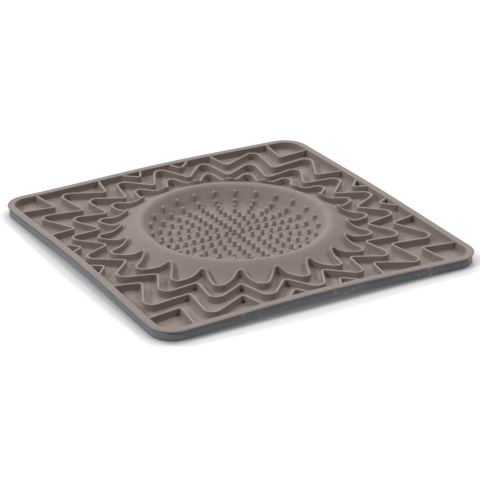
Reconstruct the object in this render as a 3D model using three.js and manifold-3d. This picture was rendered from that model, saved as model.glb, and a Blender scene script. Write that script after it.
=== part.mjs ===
// A square lick mat in two mouldings: a soft top with zigzag ribs round a studded bowl,
// and a darker tray under it that shows as the side of the mat below the lip of the rim.
// Millimetres, +Z up. The origin is on the surface that the mat lies on, under its centre.
// Seen from above, the mat's near corner is at -X -Y and its far corner at +X +Y.
import * as THREE from "three";
import { mergeVertices } from "three/addons/utils/BufferGeometryUtils.js";
import Module from "manifold-3d";

// The mat
const SIDE = 200;
const CORNER_RADIUS = 14.2;
const RIM_TOP = 6.2;
const RIM_WIDTH = 4.25;
const GAP = 0.3;

// The tray under the top moulding
const TRAY_INSET = 0.9;
const TRAY_WALL = 1.2;
const TRAY_FLOOR = 0.8;

// The top moulding
const LIP_THICKNESS = 0.8;
const FLOOR_THICKNESS = 0.9;
const SINK = 0.4;

// The mat lies flat in the middle and its edges lift a little. Each side has its own height,
// highest at its own place along the side. The corner at +X -Y is drawn out towards -Y.
const FLAT_SHARE = 0.45;
const LIFT = {
  plusX: { height: 1.05, highestAt: 6 },
  minusX: { height: 2.7, highestAt: 0 },
  plusY: { height: 1.6, highestAt: 12 },
  minusY: { height: 2.1, highestAt: -10 },
};
const CORNER_DRAW = 1.4;

// The bowl and the collar round it, from the middle outwards: radius and height.
// The last point lies a little below the top of the mat's floor.
const BOWL_FOOT_RADIUS = 44;
const COLLAR_UNDERSIDE_RADIUS = 50.5;
const FLOOR_HOLE_RADIUS = 58;
const PROFILE = [
  { radius: 0, height: 0.9 },
  { radius: 40.5, height: 0.9 },
  { radius: 43.5, height: 2.1 },
  { radius: 45.8, height: 4.0 },
  { radius: 49.4, height: 7.4 },
  { radius: 51.6, height: 9.4 },
  { radius: 54, height: 10.2 },
  { radius: 56.4, height: 9.4 },
  { radius: 64.5, height: 4.0 },
  { radius: 75, height: 1.6 },
];

// Soft pins in the bowl, ring by ring from the middle: how many, and the height of their tips.
const PIN_PITCH = 5.25;
const PIN_FOOT_RADIUS = 1.2;
const PIN_TOP_RADIUS = 1.05;
const PIN_DOME = 0.4;
const PIN_SINK = 0.45;
const PIN_RINGS = [
  { pins: 1, tip: 4.8 },
  { pins: 4, tip: 4.7 },
  { pins: 8, tip: 4.65 },
  { pins: 12, tip: 4.5 },
  { pins: 16, tip: 4.35 },
  { pins: 20, tip: 4.15 },
  { pins: 24, tip: 3.9 },
  { pins: 24, tip: 4.0 },
  { pins: 24, tip: 4.9 },
  { pins: 24, tip: 8.2 },
];

// Zigzag ribs round the collar. Each has a peak towards the bowl on every ray, 18 degrees apart,
// and a valley half way between. A radius is where the two straight arms would meet.
const RAYS = 20;
const FIRST_PEAK_DEGREES = 45;
const RIB_THICKNESS = 1.4;
const RIB_TOP = 5.9;
const RIBS = [
  { peak: 61.6, valley: 82.9, peakFillet: 2.5, valleyFillet: 3.7, armSteps: 2 },
  { peak: 74.9, valley: 97.4, peakFillet: 2.0, valleyFillet: 4.5, armSteps: 1 },
  { peak: 89.5, valley: 114.9, peakFillet: 2.0, valleyFillet: 4.5, armSteps: 1 },
];
const CORNER_RIB = { peak: 106.9, valley: 136.5, fillet: 1.5 };
const PEAK_STEPS = 2;
const VALLEY_STEPS = 3;
// The innermost rib climbs the collar: its crest rises from RIB_TOP to this height at its peaks.
const CLIMB_TOP = 9.1;
const CLIMB_FROM_RADIUS = 72;
const CLIMB_TO_RADIUS = 63.8;
const CLIMB_POWER = 2.5;

// How finely the curved surfaces are divided
const GRID_CELLS = 8;
const LATHE_STEPS = 48;
const PIN_SIDES = 5;
const CORNER_STEPS = 3;
const BEYOND = 1;

const half = SIDE / 2;
const rimInside = half - RIM_WIDTH;
const trayOutside = half - TRAY_INSET;
const trayInside = trayOutside - TRAY_WALL;
const topWallOutside = trayInside - GAP;
const lipUnderside = RIM_TOP - LIP_THICKNESS;
const floorUnderside = TRAY_FLOOR + GAP;
const floorTop = floorUnderside + FLOOR_THICKNESS;

const wasm = await Module();
wasm.setup();

// A share that is 0 over the flat middle and grows smoothly to 1 at an edge.
function rise(distance) {
  return THREE.MathUtils.smoothstep(distance / half, FLAT_SHARE, 1);
}

// The lift of one side at a distance out towards it and a place along it.
function sideLift({ height, highestAt }, outwards, along) {
  const offset = Math.min(1, Math.abs(along - highestAt) / half);
  return height * rise(outwards) * Math.cos((Math.PI / 2) * offset) ** 2;
}

// How far the mat is lifted off the surface at a place in plan.
function liftAt(x, y) {
  const alongY = sideLift(LIFT.plusX, x, y) + sideLift(LIFT.minusX, -x, y);
  return alongY + sideLift(LIFT.plusY, y, x) + sideLift(LIFT.minusY, -y, x);
}

// Moves every vertex of a geometry to a new place worked out from its old one.
function moveVertices(geometry, newPlace) {
  const position = geometry.getAttribute("position");
  const place = new THREE.Vector3();
  for (let i = 0; i < position.count; i += 1) {
    place.fromBufferAttribute(position, i);
    newPlace(place);
    position.setXYZ(i, place.x, place.y, place.z);
  }
  return geometry;
}

function lifted(geometry) {
  return moveVertices(geometry, (place) => {
    place.z += liftAt(place.x, place.y);
  });
}

// The finished mat with its one drawn-out corner.
function drawnOut(geometry) {
  return moveVertices(geometry, (place) => {
    place.y -= CORNER_DRAW * rise(place.x) * rise(-place.y);
  });
}

// A closed geometry as a solid that can be joined and cut.
function solidOf(geometry) {
  const bare = geometry.clone();
  bare.deleteAttribute("normal");
  bare.deleteAttribute("uv");
  const merged = mergeVertices(bare);
  return new wasm.Manifold(
    new wasm.Mesh({
      numProp: 3,
      vertProperties: merged.getAttribute("position").array,
      triVerts: new Uint32Array(merged.index.array),
    }),
  );
}

// A solid as a geometry again.
function geometryOf(solid) {
  const mesh = solid.getMesh();
  const geometry = new THREE.BufferGeometry();
  geometry.setAttribute("position", new THREE.BufferAttribute(mesh.vertProperties, 3));
  geometry.setIndex(new THREE.BufferAttribute(mesh.triVerts, 1));
  geometry.computeVertexNormals();
  return geometry;
}

// A square slab wider than the mat, between two heights, that follows the lift.
function slab(bottom, top) {
  const width = SIDE + 2 * BEYOND;
  const box = new THREE.BoxGeometry(width, width, top - bottom, GRID_CELLS, GRID_CELLS, 1);
  box.translate(0, 0, (bottom + top) / 2);
  return solidOf(lifted(box));
}

// A tall block with the mat's rounded square plan, drawn in from the mat's edge.
function block(halfWidth) {
  const radius = CORNER_RADIUS - (half - halfWidth);
  const inner = halfWidth - radius;
  const shape = new THREE.Shape();
  shape.absarc(inner, inner, radius, 0, Math.PI / 2);
  shape.absarc(-inner, inner, radius, Math.PI / 2, Math.PI);
  shape.absarc(-inner, -inner, radius, Math.PI, 1.5 * Math.PI);
  shape.absarc(inner, -inner, radius, 1.5 * Math.PI, 2 * Math.PI);
  const depth = 4 * RIM_TOP;
  const prism = new THREE.ExtrudeGeometry(shape, { depth, bevelEnabled: false, curveSegments: CORNER_STEPS });
  prism.translate(0, 0, -RIM_TOP);
  return solidOf(prism);
}

// A solid of revolution about the vertical axis.
function turned(points, steps) {
  const lathe = new THREE.LatheGeometry(
    points.map(([radius, height]) => new THREE.Vector2(radius, height)),
    steps,
  );
  lathe.rotateX(Math.PI / 2);
  lathe.rotateZ(Math.PI / steps);
  return lathe;
}

// A round tool that cuts right through a floor.
function disc(radius) {
  const points = [
    [0, -RIM_TOP],
    [radius, -RIM_TOP],
    [radius, 2 * RIM_TOP],
    [0, 2 * RIM_TOP],
  ];
  return solidOf(turned(points, LATHE_STEPS));
}

// Height of the bowl and collar at a radius, between the points of the profile.
function profileHeight(radius) {
  const next = PROFILE.findIndex((point) => point.radius >= radius);
  const outer = PROFILE[Math.max(1, next)];
  const inner = PROFILE[Math.max(1, next) - 1];
  const share = (radius - inner.radius) / (outer.radius - inner.radius);
  return THREE.MathUtils.lerp(inner.height, outer.height, share);
}

// The bowl and its collar, solid down to the tray, with the bowl's foot through the tray.
function collar() {
  const upper = PROFILE.map((point) => [point.radius, point.height]);
  const points = [
    [0, 0],
    [BOWL_FOOT_RADIUS, 0],
    [BOWL_FOOT_RADIUS, floorUnderside],
    [COLLAR_UNDERSIDE_RADIUS, floorUnderside],
    ...upper.reverse(),
  ];
  return solidOf(lifted(turned(points, LATHE_STEPS)));
}

// One soft pin standing at a radius, with a domed tip.
function pin(radius, degrees, tip) {
  const foot = profileHeight(Math.max(0, radius - PIN_FOOT_RADIUS)) - PIN_SINK;
  const points = [
    [0, foot],
    [PIN_FOOT_RADIUS, foot],
    [PIN_TOP_RADIUS, tip - PIN_DOME],
    [0, tip],
  ];
  const geometry = turned(points, PIN_SIDES);
  const angle = THREE.MathUtils.degToRad(degrees);
  geometry.translate(radius * Math.cos(angle), radius * Math.sin(angle), 0);
  return solidOf(geometry);
}

function allPins() {
  return PIN_RINGS.flatMap((ring, number) =>
    Array.from({ length: ring.pins }, (_, i) => pin(number * PIN_PITCH, (360 * i) / ring.pins, ring.tip)),
  );
}

function onRay(radius, degrees) {
  const angle = THREE.MathUtils.degToRad(degrees);
  return new THREE.Vector2(radius * Math.cos(angle), radius * Math.sin(angle));
}

// The round corner between two straight arms, as points from one arm to the other.
function roundCorner(before, { place: corner, fillet: radius, steps }, after) {
  const back = before.clone().sub(corner).normalize();
  const ahead = after.clone().sub(corner).normalize();
  const halfAngle = Math.acos(back.dot(ahead)) / 2;
  const middle = back.clone().add(ahead).normalize();
  const centre = corner.clone().addScaledVector(middle, radius / Math.sin(halfAngle));
  const first = corner.clone().addScaledVector(back, radius / Math.tan(halfAngle)).sub(centre);
  const last = corner.clone().addScaledVector(ahead, radius / Math.tan(halfAngle)).sub(centre);
  const turn = Math.atan2(first.cross(last), first.dot(last));
  return Array.from({ length: steps + 1 }, (_, i) =>
    first.clone().rotateAround(new THREE.Vector2(), (turn * i) / steps).add(centre),
  );
}

// The centre line of a zigzag through sharp corners, rounded at each and divided along its arms.
function centreLine(corners, armSteps, closed) {
  const count = corners.length;
  const first = closed ? 0 : 1;
  const rounded = [];
  for (let i = first; i < count - first; i += 1) {
    const before = corners[(i + count - 1) % count].place;
    const after = corners[(i + 1) % count].place;
    rounded.push(roundCorner(before, corners[i], after));
  }
  const line = [];
  rounded.forEach((arc, i) => {
    line.push(...arc);
    const start = arc[arc.length - 1];
    const next = rounded[(i + 1) % rounded.length];
    for (let step = 1; closed && step < armSteps; step += 1) {
      line.push(start.clone().lerp(next[0], step / armSteps));
    }
  });
  return closed ? line : [corners[0].place, ...line, corners[count - 1].place];
}

// A line moved sideways, with mitred corners.
function besideLine(line, distance, closed) {
  const count = line.length;
  return line.map((point, i) => {
    const before = closed || i > 0 ? line[(i + count - 1) % count] : point;
    const after = closed || i < count - 1 ? line[(i + 1) % count] : point;
    const inDirection = point.clone().sub(before).normalize();
    const outDirection = after.clone().sub(point).normalize();
    const sum = inDirection.clone().add(outDirection);
    const side = new THREE.Vector2(sum.y, -sum.x).normalize();
    const straight = before === point || after === point;
    const mitre = straight ? 1 : Math.sqrt((1 + inDirection.dot(outDirection)) / 2);
    return point.clone().addScaledVector(side, distance / mitre);
  });
}

// Height of a rib's crest at a radius.
function crestHeight(radius, climbs) {
  if (!climbs) return RIB_TOP;
  const share = (CLIMB_FROM_RADIUS - radius) / (CLIMB_FROM_RADIUS - CLIMB_TO_RADIUS);
  return RIB_TOP + (CLIMB_TOP - RIB_TOP) * THREE.MathUtils.clamp(share, 0, 1) ** CLIMB_POWER;
}

// A rib as a solid: a thin upright band along its centre line, sunk into the floor.
function ribSolid(line, closed, climbs) {
  const outside = besideLine(line, RIB_THICKNESS / 2, closed);
  const inside = besideLine(line, -RIB_THICKNESS / 2, closed);
  const shape = new THREE.Shape(closed ? outside : [...outside, ...inside.reverse()]);
  if (closed) shape.holes.push(new THREE.Path(inside));
  const band = new THREE.ExtrudeGeometry(shape, { depth: RIB_TOP, bevelEnabled: false });
  const centreRadiusAt = (x, y) => {
    const place = new THREE.Vector2(x, y);
    const nearest = line.reduce((best, point) =>
      point.distanceToSquared(place) < best.distanceToSquared(place) ? point : best,
    );
    return nearest.length();
  };
  moveVertices(band, (place) => {
    place.z = place.z > 0 ? crestHeight(centreRadiusAt(place.x, place.y), climbs) : floorTop - SINK;
  });
  return solidOf(lifted(band));
}

function zigzagRib(rib, climbs) {
  const step = 360 / RAYS;
  const corners = Array.from({ length: RAYS }, (_, i) => FIRST_PEAK_DEGREES + step * i).flatMap((degrees) => [
    { place: onRay(rib.peak, degrees), fillet: rib.peakFillet, steps: PEAK_STEPS },
    { place: onRay(rib.valley, degrees + step / 2), fillet: rib.valleyFillet, steps: VALLEY_STEPS },
  ]);
  return ribSolid(centreLine(corners, rib.armSteps, true), true, climbs);
}

// The short rib across one corner of the mat: a single V whose arms run into the rim.
function cornerRib(quarter) {
  const step = 360 / RAYS;
  const degrees = FIRST_PEAK_DEGREES + 90 * quarter;
  const corners = [
    { place: onRay(CORNER_RIB.valley, degrees - step / 2) },
    { place: onRay(CORNER_RIB.peak, degrees), fillet: CORNER_RIB.fillet, steps: PEAK_STEPS },
    { place: onRay(CORNER_RIB.valley, degrees + step / 2) },
  ];
  return ribSolid(centreLine(corners, 1, false), false, false);
}

// The rim: a flat top with a thin lip that overhangs the tray's wall.
function rim() {
  const undercut = slab(-RIM_TOP, lipUnderside).subtract(block(topWallOutside));
  return slab(floorUnderside, RIM_TOP).intersect(block(half)).subtract(block(rimInside)).subtract(undercut);
}

function topMoulding() {
  const insideRim = block((rimInside + topWallOutside) / 2);
  const floor = slab(floorUnderside, floorTop).intersect(insideRim).subtract(disc(FLOOR_HOLE_RADIUS));
  let ribs = zigzagRib(RIBS[0], true).add(zigzagRib(RIBS[1], false)).add(zigzagRib(RIBS[2], false));
  for (let quarter = 0; quarter < 4; quarter += 1) ribs = ribs.add(cornerRib(quarter));
  let body = rim().add(floor).add(ribs.intersect(insideRim)).add(collar());
  for (const single of allPins()) body = body.add(single);
  return geometryOf(body);
}

function baseTray() {
  const inside = slab(TRAY_FLOOR, 2 * RIM_TOP).intersect(block(trayInside));
  const outer = slab(0, lipUnderside - GAP).intersect(block(trayOutside));
  return geometryOf(outer.subtract(inside).subtract(disc(BOWL_FOOT_RADIUS + GAP)));
}

function namedMesh(name, geometry, material) {
  const mesh = new THREE.Mesh(geometry, material);
  mesh.name = name;
  return mesh;
}

const taupeRubber = new THREE.MeshStandardMaterial({ color: 0x9c928c, roughness: 0.7, metalness: 0 });
const slateRubber = new THREE.MeshStandardMaterial({ color: 0x5c6369, roughness: 0.75, metalness: 0 });

const mat = new THREE.Group();
mat.add(namedMesh("top_moulding", drawnOut(topMoulding()), taupeRubber));
mat.add(namedMesh("base_tray", drawnOut(baseTray()), slateRubber));

// The drawn-out corner widens the mat to one side, so the mat is centred over the origin again.
const outline = new THREE.Box3().setFromObject(mat);
mat.position.y = -(outline.min.y + outline.max.y) / 2;

export default mat;
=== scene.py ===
# %% [markdown]
# A lick mat in Blender
#
# The object is a square rubber mat, 20 cm along each side. A taupe moulding carries zigzag ribs
# round a shallow bowl full of soft pins, and a slate-grey tray under it shows as the side of the mat.
# Pet food is spread over the ribs and pins, and licking it out takes time.
# The lesson builds it from formulas: a few lofts, one swept rib section and one turned pin.
# Blender works in metres, so every millimetre value is written times MM.

# %% Load the frame
import math

import bmesh
import bpy
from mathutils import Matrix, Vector


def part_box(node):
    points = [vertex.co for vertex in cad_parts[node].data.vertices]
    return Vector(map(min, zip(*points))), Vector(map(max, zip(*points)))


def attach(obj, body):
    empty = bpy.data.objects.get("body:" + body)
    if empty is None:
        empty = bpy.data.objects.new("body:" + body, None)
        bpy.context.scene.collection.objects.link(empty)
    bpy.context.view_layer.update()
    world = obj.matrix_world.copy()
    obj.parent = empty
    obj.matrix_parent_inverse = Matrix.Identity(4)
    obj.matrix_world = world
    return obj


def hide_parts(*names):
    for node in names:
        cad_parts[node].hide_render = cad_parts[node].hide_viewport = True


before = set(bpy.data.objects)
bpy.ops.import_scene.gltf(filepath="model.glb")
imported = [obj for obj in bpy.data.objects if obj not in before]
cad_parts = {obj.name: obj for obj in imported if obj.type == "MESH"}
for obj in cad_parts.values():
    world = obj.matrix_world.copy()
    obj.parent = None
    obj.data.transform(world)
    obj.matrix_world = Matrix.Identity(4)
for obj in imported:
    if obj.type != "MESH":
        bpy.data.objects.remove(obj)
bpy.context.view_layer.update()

MM = 0.001


def in_mm(lengths):
    return [round(length / MM, 2) for length in lengths]


top_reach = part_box("top_moulding")[1]
tray_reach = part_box("base_tray")[1]

# %% [markdown]
# Sizes
#
# The frame gives the outer sizes, so the looks can't drift away from the solids. The other sizes are
# the maker's: the height of the rim, the width of its flat band, the thickness of its lip. Named once
# here, they can't contradict each other further down.

# %% Sizes of the mat
HALF = top_reach.x
TRAY_HALF = tray_reach.x
CORNER_RADIUS = 14.2 * MM
RIM_TOP = 6.2 * MM
RIM_WIDTH = 4.25 * MM
RIM_INSIDE = HALF - RIM_WIDTH
LIP_THICKNESS = 0.8 * MM
LIP_UNDERSIDE = RIM_TOP - LIP_THICKNESS
FLOOR_TOP = 2.0 * MM
FLOOR_UNDERSIDE = 1.1 * MM
TRAY_WALL = 1.2 * MM
TRAY_FLOOR = 0.8 * MM
SEAM = 0.04 * MM
BOWL_FOOT_RADIUS = 44.0 * MM
print("half widths of the mat and of its tray in mm", in_mm((HALF, TRAY_HALF)))

# %% [markdown]
# A mat that doesn't lie quite flat
#
# Soft mats rarely lie dead flat. The middle of this one rests on the table and each side lifts by its
# own small height, most of all the two sides near the camera. The right-hand corner is drawn out a
# little. A lattice could bend the finished mesh, but a formula is exact and easy to read: everything is
# first modelled on a flat, square mat, and then one function moves every vertex to where it lies. So
# ribs, rim and tray stay together, as they would if the real mat were bent.

# %% From the flat mat to the mat as it lies
FLAT_SHARE = 0.45  # of the way from the middle to a side
LIFT_PLUS_X = (1.05 * MM, 6 * MM)  # the height, and where along the side it is reached
LIFT_MINUS_X = (2.7 * MM, 0 * MM)
LIFT_PLUS_Y = (1.6 * MM, 12 * MM)
LIFT_MINUS_Y = (2.1 * MM, -10 * MM)
CORNER_DRAW = 1.4 * MM
CENTRE_SHIFT = top_reach.y - HALF


def rise(distance):
    share = min(1.0, max(0.0, (distance / HALF - FLAT_SHARE) / (1 - FLAT_SHARE)))
    return share * share * (3 - 2 * share)


def side_lift(side, outwards, along):
    height, highest_at = side
    away_from_highest = min(1.0, abs(along - highest_at) / HALF)
    return height * rise(outwards) * math.cos(math.pi / 2 * away_from_highest) ** 2


def lift(x, y):
    x_sides = side_lift(LIFT_PLUS_X, x, y) + side_lift(LIFT_MINUS_X, -x, y)
    return x_sides + side_lift(LIFT_PLUS_Y, y, x) + side_lift(LIFT_MINUS_Y, -y, x)


def as_it_lies(place):
    x, y, z = place
    return (x, y - CORNER_DRAW * rise(x) * rise(-y) + CENTRE_SHIFT, z + lift(x, y))


print("lift of the front left side in mm", in_mm([lift(-HALF, 0)]))

# %% [markdown]
# The ground that ribs and pins stand on
#
# Cut through its middle, the mat shows a shallow bowl with a slightly crowned floor, a round collar
# and a hollow slope that runs out into the flat floor. It could be a drawn curve, spun round. Here a
# short table of radius and height says the same, and a smooth curve that never overshoots its points
# fills in between them, because ribs and pins have to ask how high the ground is at any place.

# %% Bowl and collar profile
PROFILE = [  # radius in mm, height in mm
    (0, 1.2), (20, 1.05), (31, 0.8), (37, 0.75), (40, 0.95), (42.5, 1.65), (45, 3.35), (47.5, 5.6),
    (50, 8.0), (51.6, 9.4), (52.8, 9.98), (54, 10.2), (55.3, 10.0), (56.7, 9.45), (58.5, 8.5),
    (60.5, 7.3), (62.5, 6.05), (64.5, 4.85), (66.5, 3.8), (68.5, 3.05), (71, 2.4), (74, 2.1),
    (78, 2.0), (150, 2.0),
]
COLLAR_RADIUS = 54 * MM


def steepness(start, end):
    return (end[1] - start[1]) / (end[0] - start[0])


def slope_at(i):
    if i in (0, len(PROFILE) - 1):
        return 0.0
    before = steepness(PROFILE[i - 1], PROFILE[i])
    after = steepness(PROFILE[i], PROFILE[i + 1])
    if before * after <= 0:
        return 0.0
    return 2 * before * after / (before + after)


def profile_height(radius):
    radius_in_mm = radius / MM
    i = max(k for k in range(len(PROFILE) - 1) if PROFILE[k][0] <= radius_in_mm)
    (near_radius, near_height), (far_radius, far_height) = PROFILE[i], PROFILE[i + 1]
    width = far_radius - near_radius
    share = (radius_in_mm - near_radius) / width
    rest = 1 - share
    start, end = slope_at(i) * width, slope_at(i + 1) * width
    level = near_height * (1 + 2 * share) * rest ** 2 + far_height * share * share * (3 - 2 * share)
    return MM * (level + start * share * rest ** 2 - end * share * share * rest)


def ground(x, y):
    return profile_height(math.hypot(x, y))


print("collar crest in mm", in_mm([profile_height(COLLAR_RADIUS)]))

# %% [markdown]
# One helper for every loft
#
# A loft joins loops of points that all have the same number of points, like the slices of a turned
# or pressed form. It keeps clean rows of four-sided faces, which shade smoothly. Blender can bridge
# loops that are selected by hand. A helper gives the same faces in the same order on every run.

# %% Mesh helpers
def loft(points, faces, loops, start_cap=False, end_cap=False):
    base = len(points)
    count = len(loops[0])
    for loop in loops:
        points.extend(loop)
    for row in range(len(loops) - 1):
        low, high = base + row * count, base + (row + 1) * count
        for i in range(count):
            j = (i + 1) % count
            faces.append((low + i, low + j, high + j, high + i))
    if start_cap:
        faces.append(tuple(base + i for i in reversed(range(count))))
    if end_cap:
        last = base + (len(loops) - 1) * count
        faces.append(tuple(last + i for i in range(count)))


def make_piece(name, points, faces, material, node, painted_highlight_levels=None):
    mesh = bpy.data.meshes.new(name)
    mesh.from_pydata([as_it_lies(place) for place in points], [], faces)
    mesh.validate()
    mesh.polygons.foreach_set("use_smooth", [True] * len(mesh.polygons))
    mesh.materials.append(material)
    # Painted highlight: each vertex gets a share of how much paler its rubber is painted.
    painted_highlight = mesh.attributes.new("painted_highlight", "FLOAT", "POINT")
    painted_highlight.data.foreach_set("value", painted_highlight_levels or [0.0] * len(points))
    piece = bpy.data.objects.new(name, mesh)
    bpy.context.scene.collection.objects.link(piece)
    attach(piece, "root")
    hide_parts(node)
    print(name, len(points), "vertices,", sum(len(face) - 2 for face in faces), "triangles")
    return piece


prism_points, prism_faces = [], []
triangles = [[(0, 0, height), (1, 0, height), (0, 1, height)] for height in (0, 1)]
loft(prism_points, prism_faces, triangles, start_cap=True, end_cap=True)
print("a prism lofted from two triangles has", len(prism_faces), "faces")

# %% [markdown]
# Stations round the mat
#
# The rim is a rounded square and the bowl is round, yet one sheet of rubber makes both. So every loop
# has the same stations, at even angles along each side and closer together round each corner. A loop is
# then either a rounded square, a circle through the same directions, or a blend of the two.

# %% Stations
SIDE_STEPS = 56
CORNER_STEPS = 14
SMALLEST_RADIUS = 1.0 * MM


def turned(x, y, angle):
    cosine, sine = math.cos(angle), math.sin(angle)
    return (x * cosine - y * sine, x * sine + y * cosine)


def rounded_square(half_width):
    radius = max(SMALLEST_RADIUS, CORNER_RADIUS - (HALF - half_width))
    inner = half_width - radius
    side_angle = math.atan(inner / half_width)
    points = []
    for quarter in range(4):
        turn = math.pi / 2 * quarter
        for step in range(SIDE_STEPS):
            across = math.tan(side_angle * (2 * step / SIDE_STEPS - 1)) * half_width
            points.append(turned(half_width, across, turn))
        for step in range(CORNER_STEPS):
            angle = math.pi / 2 * step / CORNER_STEPS
            x = inner + radius * math.cos(angle)
            y = inner + radius * math.sin(angle)
            points.append(turned(x, y, turn))
    return points


DIRECTIONS = [Vector(point).normalized() for point in rounded_square(RIM_INSIDE)]


def circle(radius):
    return [(direction.x * radius, direction.y * radius) for direction in DIRECTIONS]


def between(inner, outer, share):
    return [(a[0] + (b[0] - a[0]) * share, a[1] + (b[1] - a[1]) * share) for a, b in zip(inner, outer)]


def at_height(outline, height):
    return [(x, y, height) for x, y in outline]


def square_loop(half_width, height):
    return at_height(rounded_square(half_width), height)


def circle_loop(radius, height):
    return at_height(circle(radius), height)


print(len(DIRECTIONS), "stations")

# %% [markdown]
# Nodes in a few words
#
# Materials are built from nodes, and each node takes several lines of Python. These helpers make one
# node each and return the socket that carries its result, so a material reads like a short sum. A
# group's sockets belong to its interface. Each has a name and a kind, and an input also a first value.

# %% Helpers for node trees
def feed(tree, socket, value):
    if isinstance(value, bpy.types.NodeSocket):
        tree.links.new(value, socket)
    else:
        socket.default_value = value


def math_node(tree, operation, first, second, clamp=False):
    node = tree.nodes.new("ShaderNodeMath")
    node.operation = operation
    node.use_clamp = clamp
    feed(tree, node.inputs[0], first)
    feed(tree, node.inputs[1], second)
    return node.outputs[0]


def vector_node(tree, operation, *values):
    node = tree.nodes.new("ShaderNodeVectorMath")
    node.operation = operation
    for socket, value in zip(node.inputs, values):
        feed(tree, socket, value)
    return node.outputs[0]


def noise_node(tree, vector, scale, detail, roughness=0.5):
    node = tree.nodes.new("ShaderNodeTexNoise")
    node.inputs["Scale"].default_value = scale
    node.inputs["Detail"].default_value = detail
    node.inputs["Roughness"].default_value = roughness
    tree.links.new(vector, node.inputs["Vector"])
    return node.outputs["Fac"]


def mix_colour(tree, share, first, second, blend="MIX"):
    node = tree.nodes.new("ShaderNodeMix")
    node.data_type = "RGBA"
    node.blend_type = blend
    feed(tree, node.inputs["Factor"], share)
    feed(tree, node.inputs["A"], first)
    feed(tree, node.inputs["B"], second)
    return node.outputs["Result"]


def new_group(name, inputs, outputs):
    group = bpy.data.node_groups.new(name, "ShaderNodeTree")
    for label, kind, value in inputs:
        socket = group.interface.new_socket(label, in_out="INPUT", socket_type=kind)
        socket.default_value = value
    for label, kind in outputs:
        group.interface.new_socket(label, in_out="OUTPUT", socket_type=kind)
    return group, group.nodes.new("NodeGroupInput"), group.nodes.new("NodeGroupOutput")


print("helpers for maths, vectors, noises, colours and groups")

# %% [markdown]
# The rubber
#
# Both mouldings are matt rubber. Up close such rubber has a faint cloudiness, very fine grain from the
# mould and faint flow lines that run out from the middle, where the liquid rubber was let in. Crests of
# ribs and tips of pins are painted paler, a painted highlight for the light that their thin edges catch
# and let through. A value on each vertex says where. A painted image could show all this too, but
# noises stay sharp at any distance.
# Both colours share the effect, so it is one node group with named inputs and outputs.

# %% Node group for moulded rubber
NOISE_MIDDLE = 0.5
FLOW_SPREAD = (1.6, 1.6, 1.6)
LEVEL_ONLY = (1, 1, 0)
GRAIN_HEIGHT = 0.35
FLOW_HEIGHT = 0.3
BLACK = (0.0, 0.0, 0.0, 1)
TWICE_WHITE = (2.0, 2.0, 2.0, 1)


def flow_noise(tree, place):
    ray = vector_node(tree, "NORMALIZE", place)
    spread = vector_node(tree, "MULTIPLY", place, FLOW_SPREAD)
    along_ray = vector_node(tree, "MULTIPLY_ADD", ray, LEVEL_ONLY, spread)
    return noise_node(tree, along_ray, scale=26, detail=5, roughness=0.6)


def swing(tree, noise, amount):
    return math_node(tree, "MULTIPLY", math_node(tree, "SUBTRACT", noise, NOISE_MIDDLE), amount)


def moulded_rubber_group():
    group, given, result = new_group(
        "Moulded rubber",
        [
            ("Colour", "NodeSocketColor", (0.3, 0.3, 0.3, 1)),
            ("Cloudiness", "NodeSocketFloat", 0.08),
            ("Flow lines", "NodeSocketFloat", 0.06),
            ("Painted highlight", "NodeSocketColor", (1.32, 1.28, 1.27, 1)),
            ("Roughness", "NodeSocketFloat", 0.6),
        ],
        [("Colour", "NodeSocketColor"), ("Roughness", "NodeSocketFloat"), ("Height", "NodeSocketFloat")],
    )
    place = group.nodes.new("ShaderNodeTexCoord").outputs["Object"]
    clouds = noise_node(group, place, scale=38, detail=4)
    grain = noise_node(group, place, scale=1900, detail=2)
    flow = flow_noise(group, place)
    cloud_part = swing(group, clouds, given.outputs["Cloudiness"])
    flow_part = swing(group, flow, given.outputs["Flow lines"])
    change = math_node(group, "ADD", cloud_part, flow_part)
    lightness = math_node(group, "ADD", change, NOISE_MIDDLE, clamp=True)
    tint = mix_colour(group, lightness, BLACK, TWICE_WHITE)
    body = mix_colour(group, 1.0, given.outputs["Colour"], tint, "MULTIPLY")
    # Painted highlight: crests and pin tips are tinted paler, in place of the light they catch.
    painted_highlight_colour = mix_colour(group, 1.0, body, given.outputs["Painted highlight"], "MULTIPLY")
    painted_highlight = group.nodes.new("ShaderNodeAttribute")
    painted_highlight.attribute_name = "painted_highlight"
    grain_part = math_node(group, "MULTIPLY", grain, GRAIN_HEIGHT)
    line_part = math_node(group, "MULTIPLY", flow, FLOW_HEIGHT)
    feed(group, result.inputs["Colour"], mix_colour(group, painted_highlight.outputs["Fac"], body, painted_highlight_colour))
    feed(group, result.inputs["Roughness"], math_node(group, "ADD", given.outputs["Roughness"], change))
    feed(group, result.inputs["Height"], math_node(group, "ADD", grain_part, line_part))
    return group


MOULDED_RUBBER = moulded_rubber_group()
print("node group", MOULDED_RUBBER.name)

# %% [markdown]
# Two finishes from one group
#
# The taupe top is a light food-grade rubber with hardly any shine. The tray is darker, bluer and a
# little shinier. Each could have its own nodes. As they share the group, only their values differ, and
# a change to the group changes both.

# %% Materials
TAUPE_COLOUR = (0.319, 0.262, 0.240)
SLATE_COLOUR = (0.163, 0.178, 0.202)
RELIEF_DEPTH = 0.1 * MM


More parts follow.
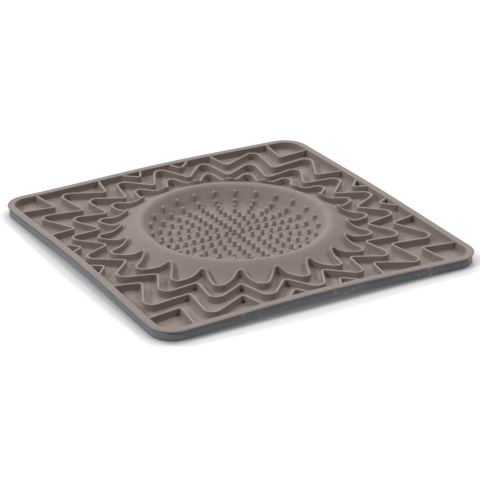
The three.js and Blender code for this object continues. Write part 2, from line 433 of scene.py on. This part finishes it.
def rubber_material(name, colour, roughness, shine, cloudiness, flow_lines, bump):
    material = bpy.data.materials.new(name)
    material.use_nodes = True
    material.diffuse_color = (*colour, 1)
    tree = material.node_tree
    shader = tree.nodes["Principled BSDF"]
    shader.inputs["Specular IOR Level"].default_value = shine
    rubber = tree.nodes.new("ShaderNodeGroup")
    rubber.name = "Rubber"
    rubber.node_tree = MOULDED_RUBBER
    rubber.inputs["Colour"].default_value = (*colour, 1)
    rubber.inputs["Roughness"].default_value = roughness
    rubber.inputs["Cloudiness"].default_value = cloudiness
    rubber.inputs["Flow lines"].default_value = flow_lines
    tree.links.new(rubber.outputs["Colour"], shader.inputs["Base Color"])
    tree.links.new(rubber.outputs["Roughness"], shader.inputs["Roughness"])
    relief = tree.nodes.new("ShaderNodeBump")
    relief.inputs["Strength"].default_value = bump
    relief.inputs["Distance"].default_value = RELIEF_DEPTH
    tree.links.new(rubber.outputs["Height"], relief.inputs["Height"])
    tree.links.new(relief.outputs["Normal"], shader.inputs["Normal"])
    return material


taupe = rubber_material(
    "taupe_rubber", TAUPE_COLOUR, roughness=0.68, shine=0.1, cloudiness=0.10, flow_lines=0.10, bump=0.25,
)
slate = rubber_material(
    "slate_rubber", SLATE_COLOUR, roughness=0.5, shine=0.35, cloudiness=0.12, flow_lines=0.05, bump=0.3,
)
print("materials", taupe.name, slate.name)

# %% [markdown]
# Dusty scuffs
#
# Pale dust clings to the tray's side in small scuffs, mostly towards the right-hand corner. Specks
# could be modelled one by one, but dust has no thickness worth a mesh, so it is a mask in the slate
# material alone. One noise says where scuffs gather, helped by how near the corner is, and a finer one
# breaks them into specks. Each noise shows only above its threshold, and where both do there is dust.

# %% Scuffs on the tray's side
SCUFF_COLOUR = (0.42, 0.41, 0.40, 1)
GATHERING_THRESHOLD = 0.56
SPECK_THRESHOLD = 0.565
SCUFF_CONTRAST = 120


def add_scuffs(material):
    tree = material.node_tree
    place = tree.nodes.new("ShaderNodeTexCoord").outputs["Object"]
    patches = noise_node(tree, place, scale=45, detail=2)
    specks = noise_node(tree, place, scale=380, detail=3, roughness=0.6)
    parts = tree.nodes.new("ShaderNodeSeparateXYZ")
    tree.links.new(place, parts.inputs[0])
    towards_corner = math_node(tree, "SUBTRACT", parts.outputs["X"], parts.outputs["Y"])
    near_corner = math_node(tree, "ADD", patches, towards_corner)
    gathered = math_node(tree, "SUBTRACT", near_corner, GATHERING_THRESHOLD, clamp=True)
    broken = math_node(tree, "SUBTRACT", specks, SPECK_THRESHOLD, clamp=True)
    both = math_node(tree, "MULTIPLY", gathered, broken)
    dust = math_node(tree, "MULTIPLY", both, SCUFF_CONTRAST, clamp=True)
    colour = mix_colour(tree, dust, tree.nodes["Rubber"].outputs["Colour"], SCUFF_COLOUR)
    tree.links.new(colour, tree.nodes["Principled BSDF"].inputs["Base Color"])


add_scuffs(slate)
print(slate.name, "has", len(slate.node_tree.nodes), "nodes")

# %% [markdown]
# The sheet of the top moulding
#
# One closed sheet makes the bowl, the collar, the floor, the inner wall of the rim, its flat band, the
# lip and everything under them. Separate solids could be joined with Booleans, but they leave ragged
# faces where a circle meets a square. A loft from the middle of the bowl out, over the rim and back
# along the underside keeps clean rows. It starts with circles that follow the profile, closest together
# where it bends most. Then it blends from the last circle to the square foot of the wall.

# %% Top moulding: bowl and floor
CIRCLE_RADII = [  # in mm, from the middle of the bowl to the foot of the collar's slope
    0.6, 3, 8, 14, 20, 26, 31, 34, 37, 38.7, 40, 41.2, 42.4, 43.5, 44.6, 45.7, 46.8, 47.9, 48.9,
    49.8, 50.6, 51.3, 52, 52.7, 53.4, 54.1, 54.8, 55.6, 56.4, 57.4, 58.6, 60, 61.5, 63, 65, 67,
    69, 71, 73, 75.5, 78,
]
FLOOR_STEPS = 7
WALL_FILLET = 0.7 * MM


def bowl_and_floor():
    loops = [circle_loop(radius * MM, profile_height(radius * MM)) for radius in CIRCLE_RADII]
    last_circle = circle(CIRCLE_RADII[-1] * MM)
    foot_of_wall = rounded_square(RIM_INSIDE - WALL_FILLET)
    for step in range(1, FLOOR_STEPS):
        loops.append(at_height(between(last_circle, foot_of_wall, step / FLOOR_STEPS), FLOOR_TOP))
    return loops


print("loops from the middle to the foot of the wall", len(bowl_and_floor()))

# %% [markdown]
# Wall, rim and lip
#
# The floor turns up into the wall, the wall into the flat rim, and the rim ends in a thin lip that
# stands out over the tray. A bevel modifier could round these edges. Quarter rounds written into the
# loft give each edge its own radius with few faces, and catch the light as the moulded edges do.

# %% Top moulding: wall, rim and lip
RIM_INNER_ROUND = 0.3 * MM
RIM_OUTER_ROUND = 0.25 * MM
LIP_CHAMFER_HEIGHT = 0.3 * MM
LIP_CHAMFER_INSET = 0.25 * MM
ROUND_STEPS = 4
ROUND_ANGLES = [math.radians(90 / ROUND_STEPS * step) for step in range(ROUND_STEPS + 1)]


def wall_rim_and_lip():
    loops = []
    for angle in ROUND_ANGLES:
        inset = WALL_FILLET * (1 - math.sin(angle))
        loops.append(square_loop(RIM_INSIDE - inset, FLOOR_TOP + WALL_FILLET * (1 - math.cos(angle))))
    for angle in ROUND_ANGLES:
        out = RIM_INNER_ROUND * (1 - math.cos(angle))
        loops.append(square_loop(RIM_INSIDE + out, RIM_TOP - RIM_INNER_ROUND * (1 - math.sin(angle))))
    for angle in ROUND_ANGLES:
        inset = RIM_OUTER_ROUND * (1 - math.sin(angle))
        loops.append(square_loop(HALF - inset, RIM_TOP - RIM_OUTER_ROUND * (1 - math.cos(angle))))
    loops.append(square_loop(HALF, LIP_UNDERSIDE + LIP_CHAMFER_HEIGHT))
    loops.append(square_loop(HALF - LIP_CHAMFER_INSET, LIP_UNDERSIDE))
    return loops


print("loops from the foot of the wall to the lip", len(wall_rim_and_lip()))

# %% [markdown]
# The underside
#
# It is hidden while the mat lies on the table, and could be left open. But a closed sheet has a
# thickness everywhere, so no light leaks through it. From the lip it runs back along the outside of the
# wall, under the floor and down to the foot of the bowl, which stands on the table.

# %% Top moulding: underside and finished sheet
MIDDLE_RADIUS = 0.6 * MM
SHARES_BACK = (0.75, 0.5, 0.25)


def underside():
    wall_outside = TRAY_HALF - TRAY_WALL - SEAM
    bowl_foot = circle(BOWL_FOOT_RADIUS)
    loops = [square_loop(wall_outside, LIP_UNDERSIDE), square_loop(wall_outside, FLOOR_UNDERSIDE)]
    for share in SHARES_BACK:
        loops.append(at_height(between(bowl_foot, rounded_square(wall_outside), share), FLOOR_UNDERSIDE))
    loops.append(at_height(bowl_foot, FLOOR_UNDERSIDE))
    loops.append(at_height(bowl_foot, 0))
    loops.append(circle_loop(BOWL_FOOT_RADIUS / 2, 0))
    loops.append(circle_loop(MIDDLE_RADIUS, 0))
    return loops


points, faces = [], []
loft(points, faces, bowl_and_floor() + wall_rim_and_lip() + underside(), start_cap=True, end_cap=True)
make_piece("top_sheet", points, faces, taupe, "top_moulding")

# %% [markdown]
# Zigzag ribs
#
# Each rib is a thin wall about 1.3 mm thick that zigzags round the collar. In plan it is a line through
# a peak towards the bowl every 18 degrees and a valley half way between, with every corner rounded. The
# line could be drawn as a curve by hand. A formula keeps all twenty rays alike, and only the radii of
# peaks and valleys and the size of their rounds differ from rib to rib.

# %% Plan of the ribs
RAYS = 20
DEGREES_APART = 360 / RAYS
FIRST_PEAK_DEGREES = 45
RIBS = [  # in mm: where the straight arms would meet, and how round peaks and valleys are
    {"name": "rib_inner", "peak": 61.6, "valley": 82.9, "rounds": (2.5, 3.7), "climbs": True},
    {"name": "rib_middle", "peak": 74.9, "valley": 97.4, "rounds": (2.0, 4.5), "climbs": False},
    {"name": "rib_outer", "peak": 89.5, "valley": 114.9, "rounds": (2.0, 4.5), "climbs": False},
]
CORNER_RIB = {"peak": 106.9, "valley": 136.5, "peak_round": 1.5}
ARC_STEPS = 9
ARM_STEP = 1.1 * MM


def on_ray(radius, degrees):
    angle = math.radians(degrees)
    return Vector((radius * MM * math.cos(angle), radius * MM * math.sin(angle)))


def round_corner(before, corner, after, radius):
    back, ahead = (before - corner).normalized(), (after - corner).normalized()
    half_angle = back.angle(ahead) / 2
    centre = corner + (back + ahead).normalized() * (radius / math.sin(half_angle))
    first = corner + back * (radius / math.tan(half_angle)) - centre
    last = corner + ahead * (radius / math.tan(half_angle)) - centre
    turn = math.atan2(first.x * last.y - first.y * last.x, first.dot(last))
    arc = []
    for step in range(ARC_STEPS + 1):
        arc.append(centre + Vector(turned(first.x, first.y, turn * step / ARC_STEPS)))
    return arc


def straight(start, end):
    count = max(1, round((end - start).length / ARM_STEP))
    return [start.lerp(end, i / count) for i in range(1, count)]


def zigzag_line(rib):
    peak_round, valley_round = rib["rounds"]
    corners = []
    for ray in range(RAYS):
        degrees = FIRST_PEAK_DEGREES + DEGREES_APART * ray
        corners.append((on_ray(rib["peak"], degrees), peak_round * MM))
        corners.append((on_ray(rib["valley"], degrees + DEGREES_APART / 2), valley_round * MM))
    arcs = []
    for i, (corner, radius) in enumerate(corners):
        arcs.append(round_corner(corners[i - 1][0], corner, corners[(i + 1) % len(corners)][0], radius))
    line = []
    for i, arc in enumerate(arcs):
        line += arc + straight(arc[-1], arcs[(i + 1) % len(arcs)][0])
    return line


def corner_line(quarter):
    degrees = FIRST_PEAK_DEGREES + 90 * quarter
    start = on_ray(CORNER_RIB["valley"], degrees - DEGREES_APART / 2)
    end = on_ray(CORNER_RIB["valley"], degrees + DEGREES_APART / 2)
    arc = round_corner(start, on_ray(CORNER_RIB["peak"], degrees), end, CORNER_RIB["peak_round"] * MM)
    return [start] + straight(start, arc[0]) + arc + straight(arc[-1], end) + [end]


print("points on the innermost rib", len(zigzag_line(RIBS[0])))

# %% [markdown]
# Ribs that meet the rim
#
# The outer rib and the short corner ribs run into the rim's wall. A Boolean could trim them, but it is
# simpler to stop them in time: their lines are cut into the runs that lie inside the rim, and each run
# ends inside the rubber of the rim, where its end can't be seen.

# %% Cut the lines at the rim
END_DEPTH = 1.2 * MM


def inside_rim(point):
    limit = RIM_INSIDE + END_DEPTH
    radius = CORNER_RADIUS - RIM_WIDTH
    x, y = abs(point.x), abs(point.y)
    if x > limit or y > limit:
        return False
    inner = limit - radius
    return x < inner or y < inner or math.hypot(x - inner, y - inner) < radius


def runs_inside(line, closed):
    kept = [inside_rim(point) for point in line]
    if all(kept):
        return [(line, closed)]
    start = kept.index(False) if closed else 0
    runs, run = [], []
    for i in range(len(line)):
        place = (start + i) % len(line)
        if kept[place]:
            run.append(line[place])
        elif run:
            runs.append((run, False))
            run = []
    return runs + ([(run, False)] if run else [])


print("the outer rib makes", len(runs_inside(zigzag_line(RIBS[2]), True)), "separate runs")

# %% [markdown]
# The section of a rib
#
# A rib's section flares a little at its foot, where the mould is rounded, draws in slightly towards
# the top and ends in a narrow flat crest with soft edges. A bevelled curve would carry one section
# along the line, but always with the same height. Here the foot follows the ground on each side and the
# crest has its own height, so the innermost rib climbs the collar and still sits properly on the slope.

# %% Sweep the section
RIB_TOP = 5.92 * MM
CLIMB_TOP = 9.1 * MM
CLIMB_FROM = 72.0 * MM
CLIMB_TO = 63.8 * MM
CLIMB_POWER = 2.5
# The last column of the rib section is a painted highlight: how much paler the crest is painted.
RIB_SECTION = [  # sideways from the middle in mm, share of the way up to the crest, paleness
    (1.30, -0.06, 0), (1.06, 0.02, 0), (0.92, 0.08, 0), (0.84, 0.18, 0), (0.76, 0.5, 0), (0.68, 0.88, 0),
    (0.62, 0.955, 0.3), (0.48, 0.99, 0.6), (0.25, 1.0, 0.6),
]
WHOLE_SECTION = RIB_SECTION + [(-side, share, painted_highlight) for side, share, painted_highlight in reversed(RIB_SECTION)]


def crest_height(radius, climbs):
    if not climbs:
        return RIB_TOP
    share = min(1.0, max(0.0, (CLIMB_FROM - radius) / (CLIMB_FROM - CLIMB_TO)))
    return RIB_TOP + (CLIMB_TOP - RIB_TOP) * share ** CLIMB_POWER


def rib_loops(line, closed, climbs):
    count = len(line)
    loops = []
    for i, point in enumerate(line):
        before = line[i - 1] if closed or i > 0 else point
        after = line[(i + 1) % count] if closed or i < count - 1 else point
        along = (after - before).normalized()
        sideways = Vector((along.y, -along.x))
        crest = crest_height(point.length, climbs)
        loop = []
        for side, share, painted_highlight in WHOLE_SECTION:
            place = point + sideways * side * MM
            foot = ground(place.x, place.y)
            loop.append((place.x, place.y, foot + (crest - foot) * share))
        loops.append(loop)
    return loops + ([loops[0]] if closed else [])


print("the section of a rib has", len(WHOLE_SECTION), "points")

# %% [markdown]
# Making the ribs
#
# The runs of one rib make one mesh. A closed run ends where it began, so its last loop lies on its
# first. Welding joins the two, which lets the rib shade smoothly across the join, and it also turns all
# faces outwards. Merge by Distance does the same by hand, and bmesh is its way in a script.

# %% Weld and make the ribs
WELD_DISTANCE = 0.001 * MM


def weld(piece):
    work = bmesh.new()
    work.from_mesh(piece.data)
    bmesh.ops.remove_doubles(work, verts=work.verts, dist=WELD_DISTANCE)
    bmesh.ops.recalc_face_normals(work, faces=work.faces)
    work.to_mesh(piece.data)
    work.free()


def make_ribs(name, runs, climbs):
    points, faces = [], []
    for line, closed in runs:
        loft(points, faces, rib_loops(line, closed, climbs), start_cap=not closed, end_cap=not closed)
    loop_painted_highlight_levels = [painted_highlight for side, share, painted_highlight in WHOLE_SECTION]
    painted_highlight_levels = loop_painted_highlight_levels * (len(points) // len(WHOLE_SECTION))
    weld(make_piece(name, points, faces, taupe, "top_moulding", painted_highlight_levels))


for rib in RIBS:
    make_ribs(rib["name"], runs_inside(zigzag_line(rib), True), rib["climbs"])

corner_runs = []
for quarter in range(4):
    corner_runs += runs_inside(corner_line(quarter), False)
make_ribs("ribs_corner", corner_runs, False)

# %% [markdown]
# Soft pins in the bowl
#
# The bowl is studded with small round pins, in rings that are evenly spaced, with one in the middle.
# Each is a turned shape with a flared foot, slightly tapered sides and a domed tip. The tips lie almost
# level, so the pins are longest where the bowl is deepest. Only the last two rings stand up the slope.
# Copies of one pin would all be equally long. A loft for each pin lets its foot follow the ground.

# %% Pins
PIN_PITCH = 5.25 * MM
PIN_SIDES = 14
PIN_RINGS = [  # how many pins, and the height of their tips in mm
    (1, 4.8), (4, 4.7), (8, 4.65), (12, 4.5), (16, 4.35), (20, 4.15),
    (24, 3.9), (24, 4.0), (24, 4.9), (24, 8.2),
]
# The last column of the pin section is a painted highlight: how much paler the tip is painted.
PIN_SECTION = [  # radius in mm, which end it is measured from, height from there in mm, paleness
    (1.5, "foot", -0.15, 0), (1.32, "foot", 0.1, 0.1), (1.22, "foot", 0.4, 0.25), (1.13, "tip", -0.75, 0.5),
    (1.0, "tip", -0.38, 0.8), (0.72, "tip", -0.1, 1), (0.34, "tip", 0.03, 1),
]


def add_pin(points, faces, painted_highlight_levels, centre, tip):
    loops = []
    for radius, end, height, painted_highlight in PIN_SECTION:
        loop = []
        for side in range(PIN_SIDES):
            angle = 2 * math.pi * side / PIN_SIDES
            x = centre.x + radius * MM * math.cos(angle)
            y = centre.y + radius * MM * math.sin(angle)
            loop.append((x, y, (ground(x, y) if end == "foot" else tip) + height * MM))
        loops.append(loop)
        painted_highlight_levels += [painted_highlight] * PIN_SIDES
    loft(points, faces, loops, start_cap=True, end_cap=True)


points, faces, painted_highlight_levels = [], [], []
for ring, (count, tip) in enumerate(PIN_RINGS):
    for i in range(count):
        angle = 2 * math.pi * i / count
        centre = Vector((math.cos(angle), math.sin(angle))) * PIN_PITCH * ring
        add_pin(points, faces, painted_highlight_levels, centre, tip * MM)
make_piece("pins", points, faces, taupe, "top_moulding", painted_highlight_levels)
print(sum(count for count, tip in PIN_RINGS), "pins")

# %% [markdown]
# The tray
#
# The slate-grey tray is a flat sheet with an upright edge. It shows as the side of the mat, set in a
# little under the lip. Its bottom edge is rounded, and the foot of the bowl fills the round hole in it.
# A flat outline with thickness added would have sharp edges, so the tray is one more loft, from the
# hole out along the bottom, up the side and back inside. Its last loop is its first, and they are welded.

# %% Tray
TRAY_EDGE_ROUND = 0.6 * MM
BOTTOM_SHARES = (0, 0.15, 0.3, 0.45, 0.6, 0.75, 0.9)
INSIDE_SHARES = (0.8, 0.6, 0.4, 0.2)


def tray_loops():
    hole = circle(BOWL_FOOT_RADIUS + SEAM)
    bottom = rounded_square(TRAY_HALF - TRAY_EDGE_ROUND)
    inside = rounded_square(TRAY_HALF - TRAY_WALL)
    loops = [at_height(hole, TRAY_FLOOR)]
    loops += [at_height(between(hole, bottom, share), 0) for share in BOTTOM_SHARES]
    for angle in ROUND_ANGLES:
        inset = TRAY_EDGE_ROUND * (1 - math.sin(angle))
        loops.append(square_loop(TRAY_HALF - inset, TRAY_EDGE_ROUND * (1 - math.cos(angle))))
    loops.append(square_loop(TRAY_HALF, LIP_UNDERSIDE - SEAM))
    loops.append(at_height(inside, LIP_UNDERSIDE - SEAM))
    loops.append(at_height(inside, TRAY_FLOOR))
    loops += [at_height(between(hole, inside, share), TRAY_FLOOR) for share in INSIDE_SHARES]
    return loops + [loops[0]]


points, faces = [], []
loft(points, faces, tray_loops())
weld(make_piece("tray", points, faces, slate, "base_tray"))

# %% [markdown]
# The table
#
# The mat lies on a plain white table, which glows faintly, so that it stays white. The panels alone
# would leave too thin a shade round the mat. So the table also darkens close to it, by an ambient
# occlusion node, which says how open the sky is above each point.

# %% Table
TABLE_HALF = 3.0
TABLE_DROP = 0.02 * MM
TABLE_ROUGHNESS = 0.9
TABLE_GLOW = 0.11
CONTACT_SHADE_REACH = 7 * MM
CONTACT_SHADE_POWER = 0.7
CONTACT_SHADE_SAMPLES = 16


def table_material():
    material = bpy.data.materials.new("white_table")
    material.use_nodes = True
    tree = material.node_tree
    shader = tree.nodes["Principled BSDF"]
    openness = tree.nodes.new("ShaderNodeAmbientOcclusion")
    openness.samples = CONTACT_SHADE_SAMPLES
    openness.inputs["Distance"].default_value = CONTACT_SHADE_REACH
    shade = math_node(tree, "POWER", openness.outputs["AO"], CONTACT_SHADE_POWER)
    tree.links.new(shade, shader.inputs["Base Color"])
    shader.inputs["Roughness"].default_value = TABLE_ROUGHNESS
    shader.inputs["Emission Color"].default_value = (1, 1, 1, 1)
    shader.inputs["Emission Strength"].default_value = TABLE_GLOW
    return material


corners = [(x * TABLE_HALF, y * TABLE_HALF, 0) for x, y in ((-1, -1), (1, -1), (1, 1), (-1, 1))]
table_mesh = bpy.data.meshes.new("table")
table_mesh.from_pydata(corners, [], [(0, 1, 2, 3)])
table_mesh.materials.append(table_material())
table = bpy.data.objects.new("table", table_mesh)
bpy.context.scene.collection.objects.link(table)
table.location.z = -TABLE_DROP
print("table", 2 * TABLE_HALF, "m across")

# %% [markdown]
# Soft studio light
#
# Square panels light the mat, as softboxes do in a studio. Two small ones stand 60 degrees to the left
# and to the right of the camera, and cast the crisp shadows beside ribs and pins. Three wider ones
# behind the mat and one overhead brighten flat tops and crests. A panel's strength is how much light
# falls on a surface that faces it, and its power is worked out from that and from its distance. The
# Standard view keeps white white, where a film-like view would turn the table grey.

# %% Lights
PANEL_DISTANCE = 4.0
PANELS = [  # degrees from +X towards +Y, degrees above the table, size in m, strength
    {"name": "panel_overhead", "azimuth": 60, "elevation": 76, "size": 1.0, "strength": 0.69},
    {"name": "panel_left", "azimuth": 180, "elevation": 38, "size": 0.25, "strength": 1.08},
    {"name": "panel_right", "azimuth": 300, "elevation": 38, "size": 0.25, "strength": 0.43},
    {"name": "panel_back_left", "azimuth": 121, "elevation": 38, "size": 1.1, "strength": 0.96},
    {"name": "panel_back", "azimuth": 62, "elevation": 26, "size": 2.4, "strength": 1.05},
    {"name": "panel_back_right", "azimuth": 8, "elevation": 43, "size": 2.2, "strength": 0.98},
]
STUDIO_STRENGTH = 0.02


def add_panel(name, azimuth, elevation, size, strength):
    light = bpy.data.lights.new(name, "AREA")
    light.shape = "SQUARE"
    light.size = size
    light.energy = math.pi * PANEL_DISTANCE ** 2 * strength
    turn, tilt = math.radians(azimuth), math.radians(elevation)
    towards = Vector((math.cos(tilt) * math.cos(turn), math.cos(tilt) * math.sin(turn), math.sin(tilt)))
    lamp = bpy.data.objects.new(name, light)
    bpy.context.scene.collection.objects.link(lamp)
    lamp.location = towards * PANEL_DISTANCE
    lamp.rotation_euler = towards.to_track_quat("Z", "Y").to_euler()


for panel in PANELS:
    add_panel(**panel)
world = bpy.data.worlds.new("studio")
bpy.context.scene.world = world
world.use_nodes = True
world.node_tree.nodes["Background"].inputs["Color"].default_value = (1, 1, 1, 1)
world.node_tree.nodes["Background"].inputs["Strength"].default_value = STUDIO_STRENGTH
bpy.context.scene.view_settings.view_transform = "Standard"
print(len(PANELS), "panels")

# %% [markdown]
# The camera
#
# The camera stands far off with a long lens, so the mat's far side looks only a little smaller than
# its near side. It is turned 30 degrees and looks down at 24 degrees. Its place is worked out from
# these angles and then shifted a little sideways and down, to set the mat where the photograph has it.

# %% Camera
AZIMUTH = math.radians(-30.02)
ELEVATION = math.radians(24.47)
DISTANCE = 1151.87 * MM
SIDE_SHIFT = 3.16 * MM
UP_SHIFT = -7.86 * MM
LENS_IN_MM = 152.84
SENSOR_IN_MM = 36.0
away = Vector((
    math.sin(AZIMUTH) * math.cos(ELEVATION),
    -math.cos(AZIMUTH) * math.cos(ELEVATION),
    math.sin(ELEVATION),
))
across = Vector((math.cos(AZIMUTH), math.sin(AZIMUTH), 0))
upward = away.cross(across)
middle = Vector((0, CENTRE_SHIFT, RIM_TOP))
lens = bpy.data.cameras.new("camera")
lens.lens = LENS_IN_MM
lens.sensor_width = SENSOR_IN_MM
lens.sensor_fit = "HORIZONTAL"
camera = bpy.data.objects.new("camera", lens)
bpy.context.scene.collection.objects.link(camera)
camera.location = middle + away * DISTANCE + across * SIDE_SHIFT + upward * UP_SHIFT
camera.rotation_euler = away.to_track_quat("Z", "Y").to_euler()
bpy.context.scene.camera = camera
print("camera at", [round(v, 3) for v in camera.location])

# %% [markdown]
# Finish
#
# The view layer is updated once more, so every object stands where it was put.

# %% Finish
bpy.context.view_layer.update()
